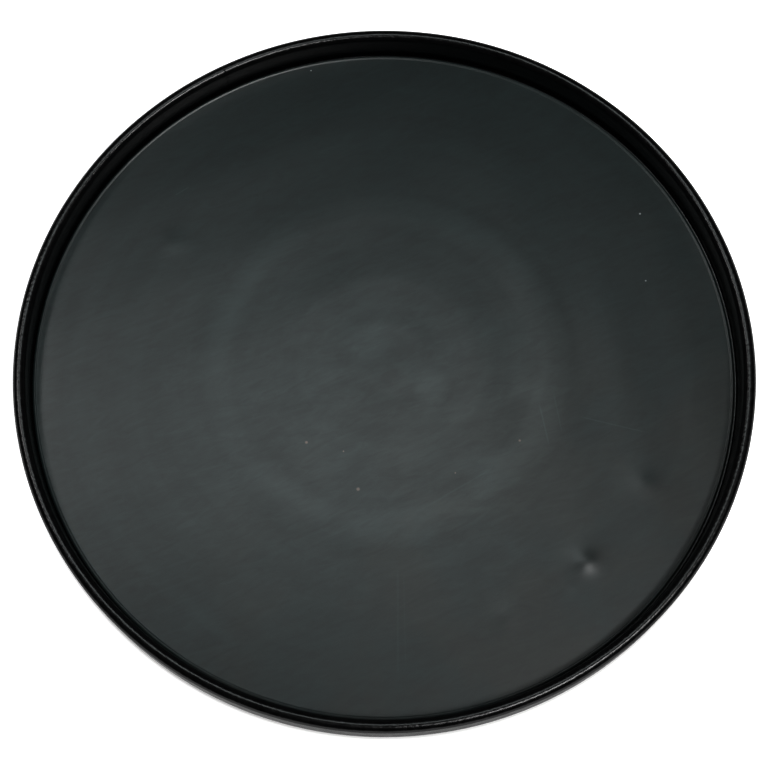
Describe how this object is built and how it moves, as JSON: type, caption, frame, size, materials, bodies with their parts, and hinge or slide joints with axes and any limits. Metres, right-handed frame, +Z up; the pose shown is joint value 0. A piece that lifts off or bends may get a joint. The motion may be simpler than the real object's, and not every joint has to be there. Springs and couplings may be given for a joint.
{
  "type": "serving tray",
  "caption": "Round leather-covered serving tray: low upright wall with a round top edge, a drop-in padded floor panel and a suede underside.",
  "frame": {"origin": "middle of the underside, on the surface the tray stands on", "axes": "+Z up along the tray's axis; the tray is round, so +X and +Y are free"},
  "size_m": [0.4, 0.4, 0.0235],
  "materials": {
    "wall_leather": "semi-gloss pebble grain",
    "floor_leather": "satin smooth grain",
    "suede": "napped suede",
    "plywood": "unfinished birch plywood",
    "bent_wood": "unfinished laminated beech",
    "card": "dense grey card",
    "pad": "thin felt",
    "adhesive": "dried contact adhesive"
  },
  "bodies": {
    "root": {"base_suede": "suede", "base_infill": "card", "base_board": "plywood", "wall_hoop": "bent_wood", "wall_leather": "wall_leather", "floor_adhesive": "adhesive", "floor_board": "card", "floor_pad": "pad", "floor_leather": "floor_leather"}
  },
  "joints": []
}
